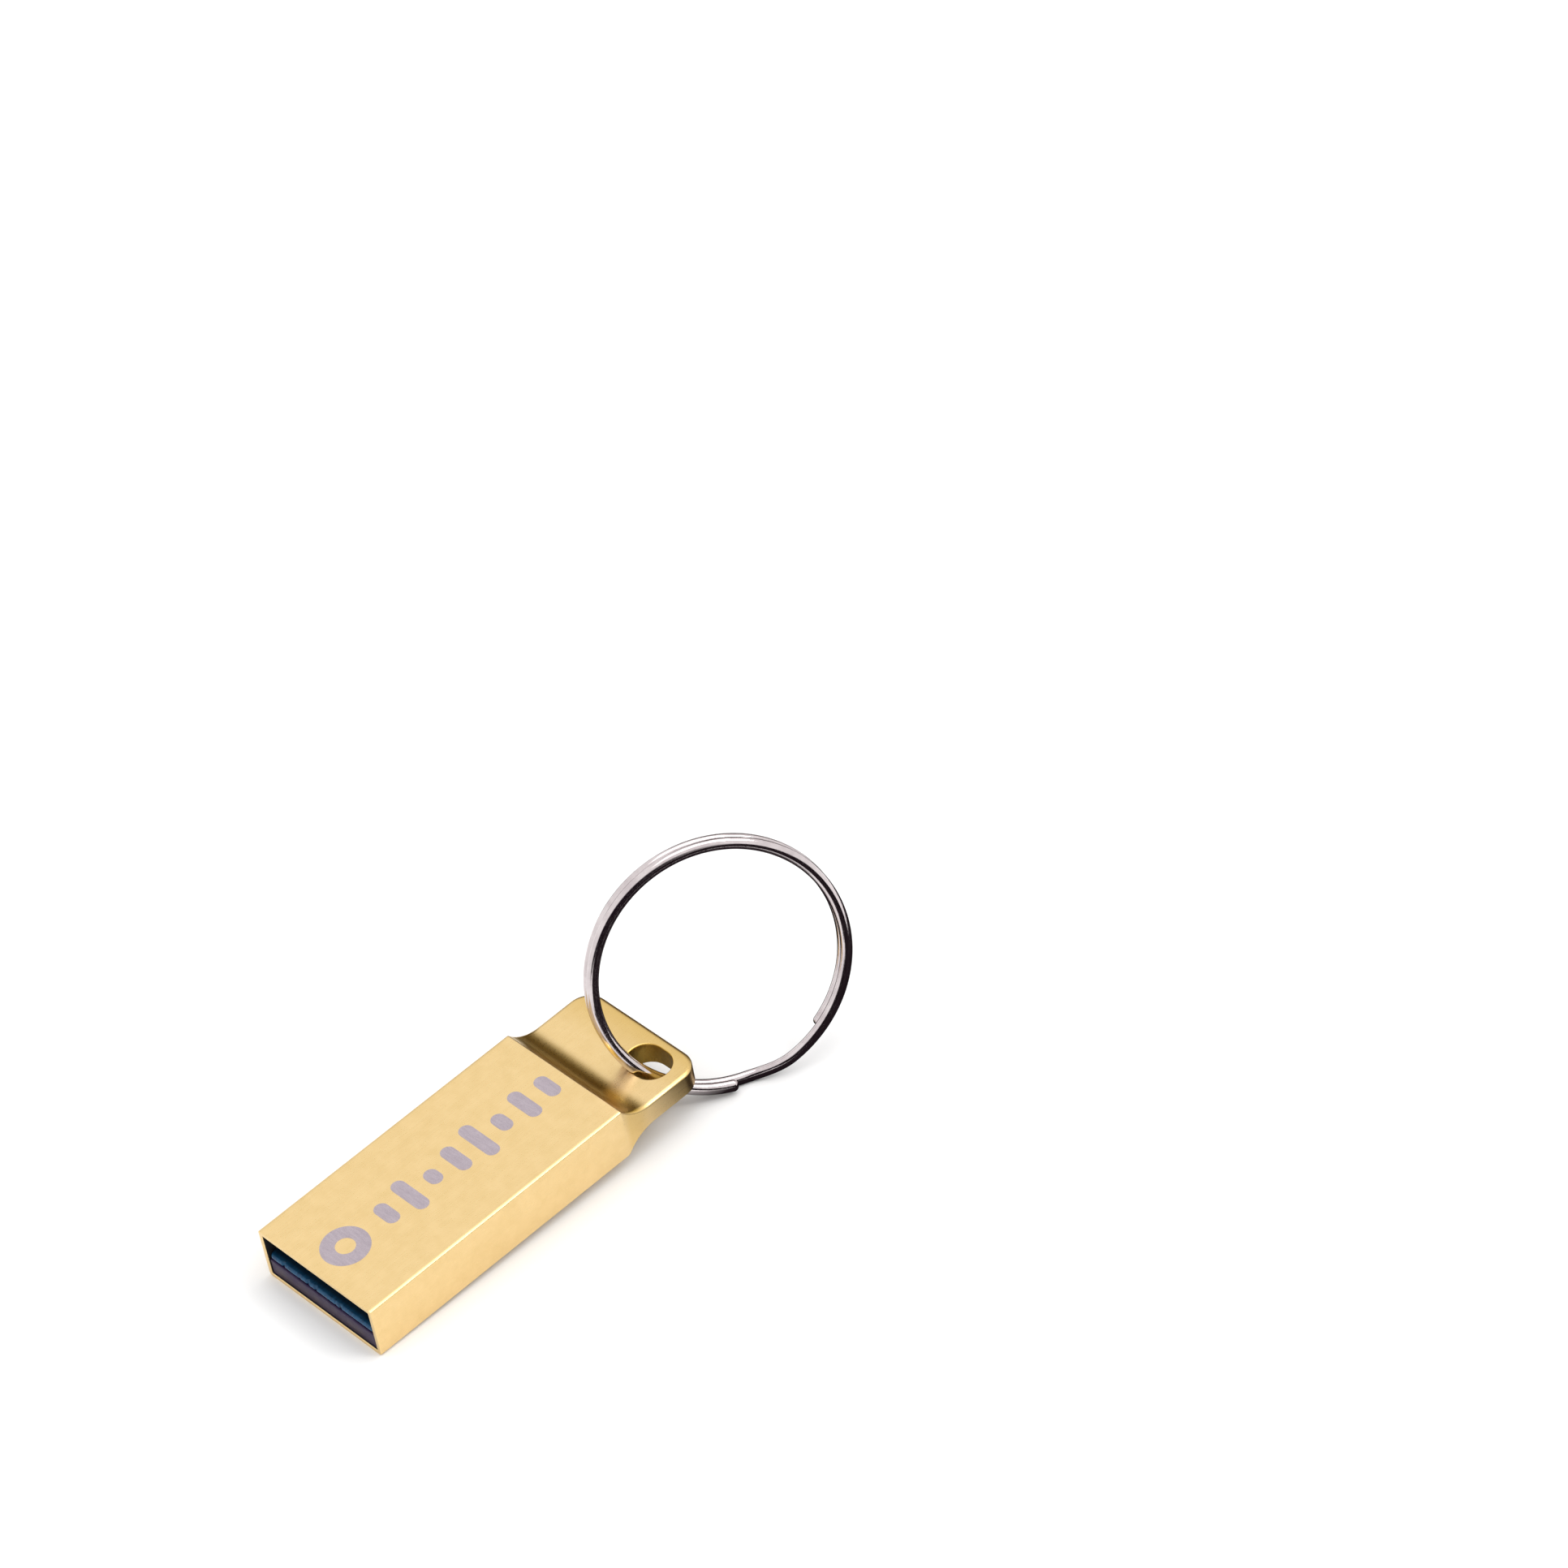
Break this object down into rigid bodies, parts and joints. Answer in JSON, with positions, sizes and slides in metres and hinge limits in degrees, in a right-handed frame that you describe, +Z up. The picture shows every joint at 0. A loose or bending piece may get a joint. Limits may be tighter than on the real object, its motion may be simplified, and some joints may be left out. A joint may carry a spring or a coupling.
{
  "type": "usb flash drive",
  "caption": "Slim gold metal USB flash drive whose housing is its own plug shell, pinched at the tail into a thin tab with an eye that holds a thin split ring.",
  "frame": {"origin": "centre line of the flat underside, 12 mm behind the plug's mouth", "axes": "+Y from the mouth towards the tail and the ring, +Z up out of the top face, +X to the side that the eye is on"},
  "size_m": [0.0151, 0.0456, 0.0191],
  "materials": {
    "gold_metal": "satin gold finish with a fine grain",
    "blue_plastic": "dark teal blue moulding, slightly textured",
    "dark_plastic": "near-black moulding with a violet tinge",
    "black_plastic": "black moulding",
    "board": "green solder mask",
    "contact_gold": "bright gold plating",
    "chip": "black moulded package",
    "can": "bright metal can",
    "ceramic": "fired tan ceramic",
    "film": "amber film",
    "ring_wire": "polished nickel-plated steel wire"
  },
  "bodies": {
    "drive": {"metal_housing": "gold_metal", "plug_insulator": "blue_plastic", "plug_carrier": "dark_plastic", "power_inductor": "dark_plastic", "rear_cover": "black_plastic", "circuit_board": "board", "contact_vbus": "contact_gold", "contact_data_minus": "contact_gold", "contact_data_plus": "contact_gold", "contact_ground": "contact_gold", "flash_memory_chip": "chip", "controller_chip": "chip", "voltage_regulator": "chip", "esd_protection": "chip", "resistor_1": "chip", "resistor_2": "chip", "resistor_3": "chip", "resistor_4": "chip", "crystal_oscillator": "can", "capacitor_1": "ceramic", "capacitor_2": "ceramic", "capacitor_3": "ceramic", "capacitor_4": "ceramic", "capacitor_5": "ceramic", "insulating_film": "film"},
    "ring": {"split_ring": "ring_wire"},
    "contact_rx_minus_arm": {"spring_contact_rx_minus": "contact_gold"},
    "contact_rx_plus_arm": {"spring_contact_rx_plus": "contact_gold"},
    "contact_drain_arm": {"spring_contact_drain": "contact_gold"},
    "contact_tx_plus_arm": {"spring_contact_tx_plus": "contact_gold"},
    "contact_tx_minus_arm": {"spring_contact_tx_minus": "contact_gold"}
  },
  "joints": [
    {"name": "ring_swing", "type": "hinge", "parent": "drive", "child": "ring", "pos_m": [0.0029, 0.01725, 0.0023], "axis": [-0.1574, -0.0734, 0.9848], "range_deg": [-135, 150]},
    {"name": "press_rx_minus", "type": "hinge", "parent": "drive", "child": "contact_rx_minus_arm", "pos_m": [-0.004, -0.0001, 0.0025], "axis": [1, 0, 0], "range_deg": [0, 4], "stiffness_Nm_per_rad": 0.02},
    {"name": "press_rx_plus", "type": "hinge", "parent": "drive", "child": "contact_rx_plus_arm", "pos_m": [-0.002, -0.0001, 0.0025], "axis": [1, 0, 0], "range_deg": [0, 4], "stiffness_Nm_per_rad": 0.02},
    {"name": "press_drain", "type": "hinge", "parent": "drive", "child": "contact_drain_arm", "pos_m": [0, -0.0001, 0.0025], "axis": [1, 0, 0], "range_deg": [0, 4], "stiffness_Nm_per_rad": 0.02},
    {"name": "press_tx_plus", "type": "hinge", "parent": "drive", "child": "contact_tx_plus_arm", "pos_m": [0.002, -0.0001, 0.0025], "axis": [1, 0, 0], "range_deg": [0, 4], "stiffness_Nm_per_rad": 0.02},
    {"name": "press_tx_minus", "type": "hinge", "parent": "drive", "child": "contact_tx_minus_arm", "pos_m": [0.004, -0.0001, 0.0025], "axis": [1, 0, 0], "range_deg": [0, 4], "stiffness_Nm_per_rad": 0.02}
  ]
}
